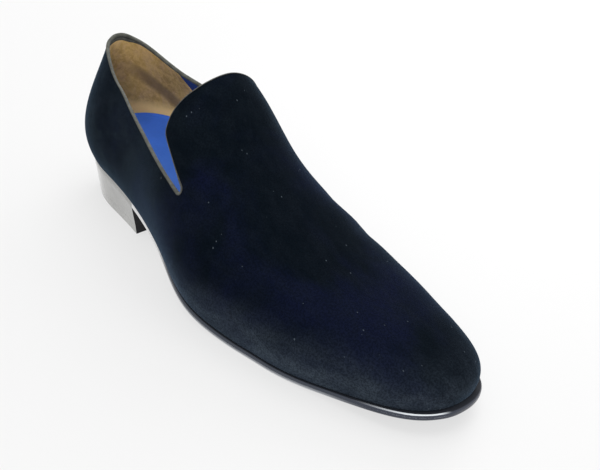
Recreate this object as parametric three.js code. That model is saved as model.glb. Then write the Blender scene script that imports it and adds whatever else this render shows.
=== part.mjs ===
// Velvet slipper loafer, right foot, standing empty on its sole.
// Millimetres, +X to the toe, +Y to the wearer's left (the inner side of a right foot), +Z up.
// Every shape comes from the last: a feather line in plan and a girth curve over it.

import * as THREE from 'three';
import { mergeVertices } from 'three/addons/utils/BufferGeometryUtils.js';

// Last
const lastLength = 293.2; // feather line, back of the heel to the tip of the toe
const ballWidth = 88; // feather line across the ball
const instepHeight = 95.7; // about the height of the vamp's ridge over the feather line
const backShare = 0.735; // top edge at the back over the feather line, share of instepHeight
const heelRise = 21.5; // feather line at the heel over the feather line at the ball
const toeSpring = 8.2; // feather line at the toe over the feather line at the ball
const toeSwing = 8.9; // tip of the toe to the inner side of the straight centre line
const swingFrom = 0.55; // share of the length where the centre line leaves the straight
const heelRound = 42; // length of the rounded back
const toeRound = 40; // length of the rounded toe
const heelPower = 2.25; // roundness of the back
const toePower = 2.29; // roundness of the toe
const slitShare = 0.4952; // front of the side slits, share of the length
const slitRadius = 1.3; // round end of a slit
const heelAxis = 0.15; // the sections turn about this share of the length round the heel
const toeAxis = 0.885; // and about this one round the toe
const topWidthBack = 0.83; // half width left at the ridge over the heel, which lies above the edge
const topWidthEnd = 0.4; // share of the length where none is left
const topWidthPower = 1.3; // how it fades
const bellySpread = 0.6; // share of the belly that the shoulder takes on

// Thicknesses and margins
const wall = 1.6; // velvet, stiffener and lining together
const insoleThickness = 3;
const heelPad = 9; // more of the insole under the heel
const midsoleThickness = 1.3;
const outsoleThickness = 2;
const soleMargin = 1.6; // about the step from feather line to outsole edge at the ball
const midsoleInset = 0.35; // step between outsole edge and midsole edge
const edgeBevel = 0.5; // bevel of the sole edges
const tapeWidth = 1.5; // binding over the edge, measured down the outside
const tapeProud = 0.3; // binding outside and inside of the wall

// Heel
const heelLength = 76.5; // back of the heel to its breast
const heelInset = 0.2; // heel under the outsole edge
const heelTaper = 2.4; // each side, from the seat down to the floor
const heelBackInset = 1.6; // further inset of the back at the floor
const breastHollow = 1.5; // concave breast
const breastRake = 1.5; // breast further forward at the floor
const topLiftThickness = 5;

// Clearances
const seam = 0.3; // between pieces that lie on each other
const insoleFit = 0.4; // insole to wall

const soleDepth = midsoleThickness + outsoleThickness + 2 * seam;
const slitAt = slitShare * lastLength;
const backHeight = backShare * instepHeight;

// Feather line. at: share of lastLength. medial and lateral: shares of ballWidth.
// heel: share of heelRise. toe: share of toeSpring. margin: share of soleMargin.
// pad: share of heelPad.
const featherTable = [
  { at: 0.0, medial: 0.265, lateral: 0.296, heel: 1.0, toe: 0.0, margin: -0.44, pad: 1.0 },
  { at: 0.15, medial: 0.332, lateral: 0.314, heel: 0.912, toe: 0.0, margin: -0.44, pad: 1.0 },
  { at: 0.3, medial: 0.348, lateral: 0.372, heel: 0.742, toe: 0.0, margin: -0.3, pad: 0.6 },
  { at: 0.42, medial: 0.358, lateral: 0.463, heel: 0.507, toe: 0.0, margin: -0.1, pad: 0.2 },
  { at: 0.55, medial: 0.411, lateral: 0.556, heel: 0.21, toe: 0.0, margin: 0.7, pad: 0.0 },
  { at: 0.68, medial: 0.492, lateral: 0.498, heel: -0.004, toe: 0.0, margin: 0.9, pad: 0.0 },
  { at: 0.8, medial: 0.461, lateral: 0.433, heel: 0.0, toe: 0.14, margin: 0.9, pad: 0.0 },
  { at: 0.9, medial: 0.394, lateral: 0.342, heel: 0.0, toe: 0.53, margin: 1.25, pad: 0.0 },
  { at: 1.0, medial: 0.363, lateral: 0.327, heel: 0.0, toe: 1.0, margin: 2.0, pad: 0.0 },
];

// Girth curve. belly: bulge beyond the feather line, share of ballWidth. bellyUp: its height,
// share of instepHeight. shoulder and crown: shares of the half width, shoulderUp: share of the
// local height. ridge: share of instepHeight over the feather line.
const girthTable = [
  { at: 0.0, belly: 0.1, bellyUp: 0.247, shoulder: 0.954, shoulderUp: 0.51, crown: 0.748, ridge: 0.756 },
  { at: 0.15, belly: 0.158, bellyUp: 0.256, shoulder: 0.927, shoulderUp: 0.52, crown: 0.568, ridge: 0.718 },
  { at: 0.3, belly: 0.106, bellyUp: 0.29, shoulder: 0.981, shoulderUp: 0.64, crown: 0.547, ridge: 0.957 },
  { at: 0.4, belly: 0.124, bellyUp: 0.295, shoulder: 0.926, shoulderUp: 0.82, crown: 0.473, ridge: 0.987 },
  { at: 0.5, belly: 0.107, bellyUp: 0.258, shoulder: 0.906, shoulderUp: 0.865, crown: 0.42, ridge: 0.775 },
  { at: 0.6, belly: 0.093, bellyUp: 0.22, shoulder: 0.95, shoulderUp: 0.88, crown: 0.464, ridge: 0.621 },
  { at: 0.7, belly: 0.078, bellyUp: 0.19, shoulder: 0.97, shoulderUp: 0.9, crown: 0.502, ridge: 0.495 },
  { at: 0.8, belly: 0.078, bellyUp: 0.164, shoulder: 0.986, shoulderUp: 0.91, crown: 0.519, ridge: 0.379 },
  { at: 0.9, belly: 0.046, bellyUp: 0.124, shoulder: 0.945, shoulderUp: 0.92, crown: 0.522, ridge: 0.273 },
  { at: 1.0, belly: 0.035, bellyUp: 0.117, shoulder: 0.917, shoulderUp: 0.94, crown: 0.506, ridge: 0.183 },
];

// Top edge of the quarters. at: share of slitAt. up: share of backHeight over the feather line.
const collarTable = [
  { at: 0.0, up: 0.996 },
  { at: 0.2, up: 0.852 },
  { at: 0.4, up: 0.787 },
  { at: 0.6, up: 0.746 },
  { at: 0.8, up: 0.73 },
  { at: 1.0, up: 0.692 },
];

// Back edge of the vamp. up: share of the girth from the slit to the ridge. at: share of slitAt.
const vampTable = [
  { up: 0.0, at: 1.0 },
  { up: 0.06, at: 0.84 },
  { up: 0.13, at: 0.79 },
  { up: 0.28, at: 0.784 },
  { up: 0.5, at: 0.802 },
  { up: 0.75, at: 0.816 },
  { up: 1.0, at: 0.818 },
];

// Natural cubic spline through the rows' values
function spline(rows, key, value) {
  const x = rows.map((row) => row[key]);
  const y = rows.map((row) => row[value]);
  const last = x.length - 1;
  const bend = new Array(last + 1).fill(0);
  const carry = new Array(last + 1).fill(0);
  for (let i = 1; i < last; i++) {
    const before = x[i] - x[i - 1];
    const after = x[i + 1] - x[i];
    const pivot = 2 * (before + after) - before * carry[i - 1];
    const slope = 6 * ((y[i + 1] - y[i]) / after - (y[i] - y[i - 1]) / before);
    carry[i] = after / pivot;
    bend[i] = (slope - before * bend[i - 1]) / pivot;
  }
  for (let i = last - 1; i > 0; i--) {
    bend[i] -= carry[i] * bend[i + 1];
  }
  return (at) => {
    let i = 0;
    while (i < last - 1 && at > x[i + 1]) i++;
    const step = x[i + 1] - x[i];
    const b = (at - x[i]) / step;
    const a = 1 - b;
    const curved = (a ** 3 - a) * bend[i] + (b ** 3 - b) * bend[i + 1];
    return a * y[i] + b * y[i + 1] + (curved * step * step) / 6;
  };
}

function columns(rows, key) {
  const names = Object.keys(rows[0]).filter((name) => name !== key);
  return Object.fromEntries(names.map((name) => [name, spline(rows, key, name)]));
}

const feather = columns(featherTable, 'at');
const girth = columns(girthTable, 'at');
const collar = columns(collarTable, 'at');
const vamp = columns(vampTable, 'up');

const indices = (count) => Array.from({ length: count + 1 }, (_, i) => i);
const clamp = THREE.MathUtils.clamp;
const mix = THREE.MathUtils.lerp;

// Height of the feather line over the floor at a distance x from the back
function featherHeight(x) {
  const share = clamp(x / lastLength, 0, 1);
  const lift = feather.heel(share) * heelRise + feather.toe(share) * toeSpring;
  return soleDepth + Math.max(0, lift);
}

function ridgeHeight(x) {
  return featherHeight(x) + girth.ridge(clamp(x / lastLength, 0, 1)) * instepHeight;
}

function centreLine(x) {
  return toeSwing * Math.max(0, (x / lastLength - swingFrom) / (1 - swingFrom)) ** 2;
}

function roundEnd(distance, length, power) {
  const share = clamp(1 - distance / length, 0, 1);
  return (1 - share ** power) ** (1 / power);
}

// Point of the feather line in plan. side is 1 on the medial side and -1 on the lateral side.
function featherPoint(share, side) {
  const x = share * lastLength;
  const half = (side > 0 ? feather.medial(share) : feather.lateral(share)) * ballWidth;
  const ends = roundEnd(x, heelRound, heelPower) * roundEnd(lastLength - x, toeRound, toePower);
  return new THREE.Vector2(x, centreLine(x) + side * half * ends);
}

// Point of the last. up is 0 on the feather line and 1 on the ridge.
function lastPoint(share, side, up) {
  const foot = featherPoint(share, side);
  const axisX = clamp(foot.x, heelAxis * lastLength, toeAxis * lastLength);
  const axis = new THREE.Vector2(axisX, centreLine(axisX));
  const out = foot.clone().sub(axis);
  const radius = out.length();
  out.divideScalar(radius);
  const belly = girth.belly(share) * ballWidth;
  const topWidth = topWidthBack * Math.max(0, 1 - share / topWidthEnd) ** topWidthPower;
  const t = 1 - up;
  const reach = radius * t ** 4
    + 4 * (radius + belly) * t ** 3 * up
    + 6 * (radius * girth.shoulder(share) + bellySpread * belly) * t ** 2 * up ** 2
    + 4 * radius * girth.crown(share) * t * up ** 3
    + radius * topWidth * up ** 4;
  const x = axis.x + out.x * reach;
  const base = featherHeight(foot.x);
  const height = ridgeHeight(x) - base;
  const z = base
    + 4 * girth.bellyUp(share) * instepHeight * t ** 3 * up
    + height * (6 * girth.shoulderUp(share) * t ** 2 * up ** 2 + 4 * t * up ** 3 + up ** 4);
  return new THREE.Vector3(x, axis.y + out.y * reach, z);
}

const nudge = 1e-4;

function alongLast(share, side, up) {
  const from = Math.max(0, share - nudge);
  const to = Math.min(1, share + nudge);
  return lastPoint(to, side, up).sub(lastPoint(from, side, up)).divideScalar(to - from);
}

function overLast(share, side, up) {
  const from = Math.max(0, up - nudge);
  const to = Math.min(1, up + nudge);
  return lastPoint(share, side, to).sub(lastPoint(share, side, from)).divideScalar(to - from);
}

// Outward normal of the last, the same from both sides on the ridge and on the end lines
function lastNormal(share, side, up) {
  if (up === 1) {
    const x = lastPoint(share, side, 1).x;
    const slope = ridgeHeight(x + 0.5) - ridgeHeight(x - 0.5);
    return new THREE.Vector3(-slope, 0, 1).normalize();
  }
  const over = overLast(share, side, up);
  if (share === 0 || share === 1) {
    const out = new THREE.Vector3(over.x, over.y, 0);
    const foot = lastPoint(share, side, 0);
    const axisX = (share === 0 ? heelAxis : toeAxis) * lastLength;
    const away = new THREE.Vector3(foot.x - axisX, foot.y - centreLine(axisX), 0).normalize();
    return away.clone().multiplyScalar(over.z).setZ(-out.dot(away)).normalize();
  }
  return alongLast(share, side, up).cross(over).multiplyScalar(-side).normalize();
}

// Share of the girth at which the last reaches a height over the feather line
function upAtHeight(share, side, height) {
  const target = featherHeight(share * lastLength) + height;
  let low = 0;
  let high = 1;
  for (let i = 0; i < 40; i++) {
    const middle = (low + high) / 2;
    if (lastPoint(share, side, middle).z < target) low = middle;
    else high = middle;
  }
  return (low + high) / 2;
}

// The top edge of one side as { share, up }: heel, quarter, round slit end, vamp, ridge
const quarterSteps = 16;
const tipSteps = 6;
const vampSteps = 12;
const tipReach = 0.04; // share of either edge that gives its direction at the tip

function topline(side) {
  const quarterSpot = (share) => {
    return { share, up: upAtHeight(share, side, collar.up(share / slitShare) * backHeight) };
  };
  const tip = quarterSpot(slitShare);
  const vampSpot = (t) => ({ share: vamp.at(t) * slitShare, up: mix(tip.up, 1, t) });
  const scale = overLast(tip.share, side, tip.up).length();
  const flat = (spot) => new THREE.Vector2(spot.share * lastLength, spot.up * scale);
  const corner = flat(tip);
  const toQuarter = flat(quarterSpot((1 - tipReach) * slitShare)).sub(corner).normalize();
  const toVamp = flat(vampSpot(tipReach)).sub(corner).normalize();
  const half = toQuarter.angleTo(toVamp) / 2;
  const reach = slitRadius / Math.tan(half);
  const middle = toQuarter.clone().add(toVamp).normalize();
  const across = toQuarter.clone().sub(toVamp).normalize();
  const centre = corner.clone().addScaledVector(middle, slitRadius / Math.sin(half));
  const round = indices(tipSteps).map((i) => {
    const turn = mix(1, -1, i / tipSteps) * (Math.PI / 2 - half);
    const spot = centre.clone()
      .addScaledVector(middle, -slitRadius * Math.cos(turn))
      .addScaledVector(across, slitRadius * Math.sin(turn));
    return { share: spot.x / lastLength, up: spot.y / scale };
  });
  const quarterEnd = (corner.x + toQuarter.x * reach) / lastLength;
  const vampStart = ((toVamp.y * reach) / scale) / (1 - tip.up);
  const quarter = indices(quarterSteps - 1).map((i) => {
    const t = i / quarterSteps;
    return quarterSpot(quarterEnd * t * t * (3 - 2 * t));
  });
  const back = indices(vampSteps).slice(1).map((i) => vampSpot(mix(vampStart, 1, i / vampSteps)));
  back[vampSteps - 1].up = 1;
  return [...quarter, ...round, ...back];
}

// The top edge moved down into the wall by a distance along the surface
function edgeInset(side, distance) {
  const edge = topline(side);
  const points = edge.map((spot) => lastPoint(spot.share, side, spot.up));
  return edge.map((spot, i) => {
    const over = overLast(spot.share, side, spot.up);
    if (i === 0) {
      return { share: 0, up: spot.up - distance / over.length() };
    }
    const along = alongLast(spot.share, side, spot.up);
    if (i === edge.length - 1) {
      return { share: spot.share + distance / along.length(), up: 1 };
    }
    const edgeWay = points[i + 1].clone().sub(points[i - 1]).normalize();
    const down = lastNormal(spot.share, side, spot.up).cross(edgeWay).normalize();
    down.multiplyScalar(side * distance);
    const a = along.dot(along);
    const b = along.dot(over);
    const c = over.dot(over);
    const p = down.dot(along);
    const q = down.dot(over);
    const area = a * c - b * b;
    return { share: spot.share + (c * p - b * q) / area, up: spot.up + (a * q - b * p) / area };
  });
}

// Triangles of a grid of points; turned swaps their facing
function gridFaces(points, turned) {
  const faces = [];
  for (let i = 0; i + 1 < points.length; i++) {
    for (let j = 0; j + 1 < points[i].length; j++) {
      const a = points[i][j];
      const b = points[i + 1][j];
      const c = points[i + 1][j + 1];
      const d = points[i][j + 1];
      faces.push(turned ? [a, c, b] : [a, b, c], turned ? [a, d, c] : [a, c, d]);
    }
  }
  return faces;
}

// One closed body from triangles that share their corners; triangles without area are left out
function closedBody(faces) {
  const alike = (a, b) => a.distanceTo(b) < 1e-4;
  const kept = faces.filter(([a, b, c]) => !alike(a, b) && !alike(b, c) && !alike(c, a));
  const geometry = new THREE.BufferGeometry().setFromPoints(kept.flat());
  const merged = mergeVertices(geometry, 1e-4);
  merged.computeVertexNormals();
  return merged;
}

function wallPoint(spot, side, depth) {
  const point = lastPoint(spot.share, side, spot.up);
  return point.addScaledVector(lastNormal(spot.share, side, spot.up), -depth);
}

// Bottom edge of the wall, level across the wall
function featherEdge(share, side, depth) {
  const foot = outline(share, side, -depth);
  return new THREE.Vector3(foot.x, foot.y, featherHeight(share * lastLength));
}

// Feather line moved outwards in plan
function outline(share, side, outset) {
  const foot = featherPoint(share, side);
  if (share === 0) {
    return foot.setX(foot.x - outset);
  }
  if (share === 1) {
    return foot.setX(foot.x + outset);
  }
  const ahead = featherPoint(Math.min(1, share + nudge), side);
  const along = ahead.sub(featherPoint(Math.max(0, share - nudge), side)).normalize();
  return foot.add(new THREE.Vector2(-along.y, along.x).multiplyScalar(side * outset));
}

// Grids of the wall of one side at a depth under its outer face, columns from heel to toe, rows
// from the feather line up. quarter: behind the slit. vamp: over the slit, up to the ridge.
// front: from the slit to the tip of the toe.
const lowRows = 9;
const vampColumns = 6;
const frontColumns = 24;
const toeUp = 0.5; // share of the toe's girth where the rows from the slit's front end
const foremost = quarterSteps + tipSteps / 2 + 1; // the sample of the top edge that lies foremost

function wallGrids(side, depth) {
  const edge = edgeInset(side, tapeWidth + seam);
  const tip = edge[foremost];
  const vampRows = edge.length - 1 - foremost;
  const at = (share, up) => {
    return up === 0 ? featherEdge(share, side, depth) : wallPoint({ share, up }, side, depth);
  };
  const quarter = indices(foremost).map((i) => {
    const footShare = tip.share * (1 - Math.cos((Math.PI / 2) * (i / foremost)));
    return indices(lowRows).map((j) => {
      const share = i === foremost ? tip.share : mix(footShare, edge[i].share, j / lowRows);
      return at(share, (edge[i].up * j) / lowRows);
    });
  });
  const vampStart = (j) => {
    return { share: mix(tip.share, slitShare, j / vampRows), up: mix(tip.up, 1, j / vampRows) };
  };
  const overSlit = indices(vampColumns).map((i) => indices(vampRows).map((j) => {
    const from = edge[foremost + j];
    const to = vampStart(j);
    const t = i / vampColumns;
    return at(mix(from.share, to.share, t), j === vampRows ? 1 : mix(from.up, to.up, t));
  }));
  const front = indices(frontColumns).map((i) => {
    const t = Math.sin((Math.PI / 2) * (i / frontColumns));
    const level = mix(tip.up, toeUp, t);
    const share = (from) => (i === frontColumns ? 1 : mix(from, 1, t));
    const low = indices(lowRows - 1).map((j) => at(share(tip.share), (level * j) / lowRows));
    const high = indices(vampRows).map((j) => {
      return at(share(vampStart(j).share), j === vampRows ? 1 : mix(level, 1, j / vampRows));
    });
    return [...low, ...high];
  });
  return { quarter, overSlit, front };
}

// Upper: one wall from the feather line up to the edge under the tape
function makeUpper() {
  const faces = [];
  for (const side of [1, -1]) {
    const outer = wallGrids(side, 0);
    const inner = wallGrids(side, wall);
    for (const name of ['quarter', 'overSlit', 'front']) {
      faces.push(...gridFaces(outer[name], side > 0));
      faces.push(...gridFaces(inner[name], side < 0));
    }
    const bottom = (grids) => [...grids.quarter, ...grids.front.slice(1)].map((column) => column[0]);
    const top = (grids) => [...grids.quarter.map((column) => column[lowRows]), ...grids.overSlit[0].slice(1)];
    faces.push(...gridFaces([bottom(outer), bottom(inner)], side > 0));
    faces.push(...gridFaces([top(outer), top(inner)], side < 0));
  }
  return closedBody(faces);
}

// Binding: a ring of tape over the whole top edge
function makeBinding() {
  const bevel = tapeProud;
  const section = [
    [tapeWidth, -tapeProud],
    [bevel, -tapeProud],
    [0, 0],
    [0, wall],
    [bevel, wall + tapeProud],
    [tapeWidth, wall + tapeProud],
    [tapeWidth, -tapeProud],
  ];
  const faces = [];
  for (const side of [1, -1]) {
    const rings = section.map(([down, depth]) => {
      return edgeInset(side, down).map((spot) => wallPoint(spot, side, depth));
    });
    faces.push(...gridFaces(rings, side < 0));
  }
  return closedBody(faces);
}

// A plate between two shares of the length. Each ring gives the plate's edge at a share, from the
// top face down to the bottom face. hollow curves the front.
function plate(rings, { to = 1, steps = 40, across = 1, hollow = 0 }) {
  const turn = to === 1 ? Math.PI : Math.PI / 2;
  const reached = (i) => (1 - Math.cos((turn * i) / steps)) / (1 - Math.cos(turn));
  const point = (ring, i, j) => {
    const share = i === steps ? to : to * reached(i);
    const spot = ring(share, 1, to).lerp(ring(share, -1, to), j / across);
    spot.x -= hollow * nearFront(share, to) * 4 * (j / across) * (1 - j / across);
    return spot;
  };
  const face = (ring) => indices(steps).map((i) => indices(across).map((j) => point(ring, i, j)));
  const side = (j) => rings.map((ring) => indices(steps).map((i) => point(ring, i, j)));
  const front = rings.map((ring) => indices(across).map((j) => point(ring, steps, j)));
  return closedBody([
    ...gridFaces(face(rings[0]), true),
    ...gridFaces(face(rings[rings.length - 1]), false),
    ...gridFaces(side(0), true),
    ...gridFaces(side(across), false),
    ...(to < 1 ? gridFaces(front, true) : []),
  ]);
}

// 1 at the front of a short plate, and next to nothing away from it
const nearFront = (share, to) => (share / to) ** 6;

// A ring that follows the feather line at an outset in plan, with its height a function of x;
// lean moves it forward at the front
function planRing(outset, height, lean = 0) {
  return (share, side, to) => {
    const spot = outline(share, side, outset(share));
    const x = spot.x + lean * nearFront(share, to);
    return new THREE.Vector3(x, spot.y, height(x));
  };
}

// Heights under the upper, as functions of x
const midsoleTop = (x) => featherHeight(x) - seam;
const midsoleBottom = (x) => midsoleTop(x) - midsoleThickness;
const outsoleTop = (x) => midsoleBottom(x) - seam;
const outsoleBottom = (x) => outsoleTop(x) - outsoleThickness;
const margin = (share) => feather.margin(share) * soleMargin;

function makeInsole() {
  const inset = wall + insoleFit;
  const thickness = (share) => insoleThickness + feather.pad(share) * heelPad;
  const wallRing = (drop, depth) => (share, side) => {
    return wallPoint({ share, up: upAtHeight(share, side, thickness(share) - drop) }, side, depth);
  };
  return plate([
    wallRing(0, inset + edgeBevel),
    wallRing(edgeBevel, inset),
    planRing(() => -inset, featherHeight),
  ], {});
}

function makeMidsole() {
  const outset = (share) => margin(share) - midsoleInset;
  return plate([
    planRing((share) => outset(share) - edgeBevel, midsoleTop),
    planRing(outset, (x) => midsoleTop(x) - edgeBevel),
    planRing(outset, midsoleBottom),
  ], {});
}

function makeOutsole() {
  return plate([
    planRing(margin, outsoleTop),
    planRing(margin, (x) => outsoleBottom(x) + edgeBevel),
    planRing((share) => margin(share) - edgeBevel, outsoleBottom),
  ], { steps: 48 });
}

// Heel outline, from 0 at the floor to 1 at the seat
function heelOutset(level) {
  return (share) => {
    const atBack = Math.max(0, 1 - (share * lastLength) / heelRound);
    return margin(share) - heelInset - (1 - level) * (heelTaper + heelBackInset * atBack);
  };
}

const heelShare = (heelLength - breastRake) / lastLength;
const heelPlate = { to: heelShare, steps: 16, across: 4, hollow: breastHollow };
const heelRing = (height, level) => planRing(heelOutset(level), height, breastRake * (1 - level));

function makeHeelStack() {
  const low = topLiftThickness + seam;
  return plate([heelRing((x) => outsoleBottom(x) - seam, 1), heelRing(() => low, low / heelRise)], heelPlate);
}

function makeTopLift() {
  return plate([
    heelRing(() => topLiftThickness, topLiftThickness / heelRise),
    heelRing(() => 0, 0),
  ], heelPlate);
}

const velvet = new THREE.MeshStandardMaterial({ color: 0x10151f, roughness: 0.95, metalness: 0 });
const tape = new THREE.MeshStandardMaterial({ color: 0x4c4d48, roughness: 0.85, metalness: 0 });
const sockLeather = new THREE.MeshStandardMaterial({ color: 0x2450b8, roughness: 0.5, metalness: 0 });
const midsoleLeather = new THREE.MeshStandardMaterial({ color: 0x2c2c30, roughness: 0.35, metalness: 0 });
const soleLeather = new THREE.MeshStandardMaterial({ color: 0x1a1a1c, roughness: 0.3, metalness: 0 });
const heelLeather = new THREE.MeshStandardMaterial({ color: 0x7c7c7a, roughness: 0.2, metalness: 0 });
const liftRubber = new THREE.MeshStandardMaterial({ color: 0x818180, roughness: 0.3, metalness: 0 });

const pieces = [
  ['upper', makeUpper(), velvet],
  ['topline_binding', makeBinding(), tape],
  ['insole', makeInsole(), sockLeather],
  ['midsole', makeMidsole(), midsoleLeather],
  ['outsole', makeOutsole(), soleLeather],
  ['heel_stack', makeHeelStack(), heelLeather],
  ['top_lift', makeTopLift(), liftRubber],
];

// The origin is the middle of the heel on the floor
const group = new THREE.Group();
for (const [name, geometry, material] of pieces) {
  const mesh = new THREE.Mesh(geometry, material);
  mesh.name = name;
  mesh.position.set(-heelLength / 2, 0, 0);
  group.add(mesh);
}

export default group;
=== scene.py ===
# Velvet slipper loafer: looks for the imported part, in metres, in the part's own frame.
import math

import bmesh
import bpy
import numpy as np
from mathutils import Matrix, Vector


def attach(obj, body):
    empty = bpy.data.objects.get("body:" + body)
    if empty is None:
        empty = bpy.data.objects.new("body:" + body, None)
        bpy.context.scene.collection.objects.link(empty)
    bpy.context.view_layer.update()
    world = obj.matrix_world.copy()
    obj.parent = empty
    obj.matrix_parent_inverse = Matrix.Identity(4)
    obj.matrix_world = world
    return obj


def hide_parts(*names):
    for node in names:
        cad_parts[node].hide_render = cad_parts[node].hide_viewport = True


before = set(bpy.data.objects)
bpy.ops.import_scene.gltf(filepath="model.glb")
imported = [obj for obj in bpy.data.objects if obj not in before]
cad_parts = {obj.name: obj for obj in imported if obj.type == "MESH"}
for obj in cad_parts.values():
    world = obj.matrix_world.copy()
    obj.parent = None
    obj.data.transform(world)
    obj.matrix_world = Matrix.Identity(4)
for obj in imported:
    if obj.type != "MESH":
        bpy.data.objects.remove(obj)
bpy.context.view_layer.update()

# The last, in millimetres from the back of the feather line; the same shape as the part's own source
last = {
    "length": 293.2,
    "ballWidth": 88,
    "instepHeight": 95.7,
    "backHeight": 70.34,
    "heelRise": 21.5,
    "toeSpring": 8.2,
    "toeSwing": 8.9,
    "swingFrom": 0.55,
    "heelRound": 42,
    "toeRound": 40,
    "heelPower": 2.25,
    "toePower": 2.29,
    "heelAxis": 0.15,
    "toeAxis": 0.885,
    "slitShare": 0.4952,
    "slitRadius": 1.3,
    "tipReach": 0.04,
    "topWidthBack": 0.83,
    "topWidthEnd": 0.4,
    "topWidthPower": 1.3,
    "bellySpread": 0.6,
    "wall": 1.6,
    "soleDepth": 3.9,
    "originX": 38.25,
}

# at, medial and lateral half width (shares of ballWidth), heel (of heelRise), toe (of toeSpring),
# margin of the sole in mm, pad (share of the sock's heelPad)
featherRows = np.array([
    [0.0, 0.265, 0.296, 1.0, 0.0, -0.704, 1.0],
    [0.15, 0.332, 0.314, 0.912, 0.0, -0.704, 1.0],
    [0.3, 0.348, 0.372, 0.742, 0.0, -0.48, 0.6],
    [0.42, 0.358, 0.463, 0.507, 0.0, -0.16, 0.2],
    [0.55, 0.411, 0.556, 0.21, 0.0, 1.12, 0.0],
    [0.68, 0.492, 0.498, -0.004, 0.0, 1.44, 0.0],
    [0.8, 0.461, 0.433, 0.0, 0.14, 1.44, 0.0],
    [0.9, 0.394, 0.342, 0.0, 0.53, 2.0, 0.0],
    [1.0, 0.363, 0.327, 0.0, 1.0, 3.2, 0.0],
])

# at, belly (of ballWidth), bellyUp (of instepHeight), shoulder, shoulderUp, crown, ridge (of instepHeight)
girthRows = np.array([
    [0.0, 0.1, 0.247, 0.954, 0.51, 0.748, 0.756],
    [0.15, 0.158, 0.256, 0.927, 0.52, 0.568, 0.718],
    [0.3, 0.106, 0.29, 0.981, 0.64, 0.547, 0.957],
    [0.4, 0.124, 0.295, 0.926, 0.82, 0.473, 0.987],
    [0.5, 0.107, 0.258, 0.906, 0.865, 0.42, 0.775],
    [0.6, 0.093, 0.22, 0.95, 0.88, 0.464, 0.621],
    [0.7, 0.078, 0.19, 0.97, 0.9, 0.502, 0.495],
    [0.8, 0.078, 0.164, 0.986, 0.91, 0.519, 0.379],
    [0.9, 0.046, 0.124, 0.945, 0.92, 0.522, 0.273],
    [1.0, 0.035, 0.117, 0.917, 0.94, 0.506, 0.183],
])

# at (share of the slit's place), height of the quarters' edge (share of backHeight)
collarRows = np.array([[0.0, 0.996], [0.2, 0.852], [0.4, 0.787], [0.6, 0.746], [0.8, 0.73], [1.0, 0.692]])

# share of the girth from slit to ridge, place of the vamp's back edge (share of the slit's place)
vampRows = np.array([
    [0.0, 1.0], [0.06, 0.84], [0.13, 0.79], [0.28, 0.784], [0.5, 0.802], [0.75, 0.816], [1.0, 0.818],
])


def naturalSpline(x, y):
    # Cubic through the rows with no bend at its ends: the bends solve a tridiagonal system
    n = len(x)
    h = np.diff(x)
    system = np.eye(n)
    right = np.zeros(n)
    for i in range(1, n - 1):
        system[i, i - 1:i + 2] = h[i - 1], 2 * (h[i - 1] + h[i]), h[i]
        right[i] = 6 * ((y[i + 1] - y[i]) / h[i] - (y[i] - y[i - 1]) / h[i - 1])
    bend = np.linalg.solve(system, right)

    def at(t):
        t = np.asarray(t, float)
        i = np.clip(np.searchsorted(x, t, side="left") - 1, 0, n - 2)
        step = x[i + 1] - x[i]
        b = (t - x[i]) / step
        a = 1 - b
        curved = (a ** 3 - a) * bend[i] + (b ** 3 - b) * bend[i + 1]
        return a * y[i] + b * y[i + 1] + curved * step * step / 6

    return at


def splineColumns(rows, names):
    return {name: naturalSpline(rows[:, 0], rows[:, k + 1]) for k, name in enumerate(names)}


feather = splineColumns(featherRows, ["medial", "lateral", "heel", "toe", "margin", "pad"])
girth = splineColumns(girthRows, ["belly", "bellyUp", "shoulder", "shoulderUp", "crown", "ridge"])
collarUp = naturalSpline(collarRows[:, 0], collarRows[:, 1])
vampAt = naturalSpline(vampRows[:, 0], vampRows[:, 1])
margin = feather["margin"]


def mix(a, b, t):
    return a + (b - a) * t


leastLength = 1e-12  # keeps a division away from zero


def unit(v):
    return v / np.maximum(np.linalg.norm(v, axis=-1, keepdims=True), leastLength)


def stack(*parts):
    return np.stack(np.broadcast_arrays(*parts), -1)


def featherHeight(x):
    share = np.clip(x / last["length"], 0, 1)
    lift = feather["heel"](share) * last["heelRise"] + feather["toe"](share) * last["toeSpring"]
    return last["soleDepth"] + np.maximum(0, lift)


def ridgeHeight(x):
    return featherHeight(x) + girth["ridge"](np.clip(x / last["length"], 0, 1)) * last["instepHeight"]


def centreLine(x):
    bent = np.maximum(0, (x / last["length"] - last["swingFrom"]) / (1 - last["swingFrom"]))
    return last["toeSwing"] * bent ** 2


def roundEnd(distance, length, power):
    share = np.clip(1 - distance / length, 0, 1)
    return (1 - share ** power) ** (1 / power)


# Feather line in plan: half width times a superellipse at each end. side 1 is the inner side, -1 the outer.
def featherPoint(share, side):
    x = share * last["length"]
    half = feather["medial" if side > 0 else "lateral"](share) * last["ballWidth"]
    ends = roundEnd(x, last["heelRound"], last["heelPower"])
    ends = ends * roundEnd(last["length"] - x, last["toeRound"], last["toePower"])
    return stack(x, centreLine(x) + side * half * ends)


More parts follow.
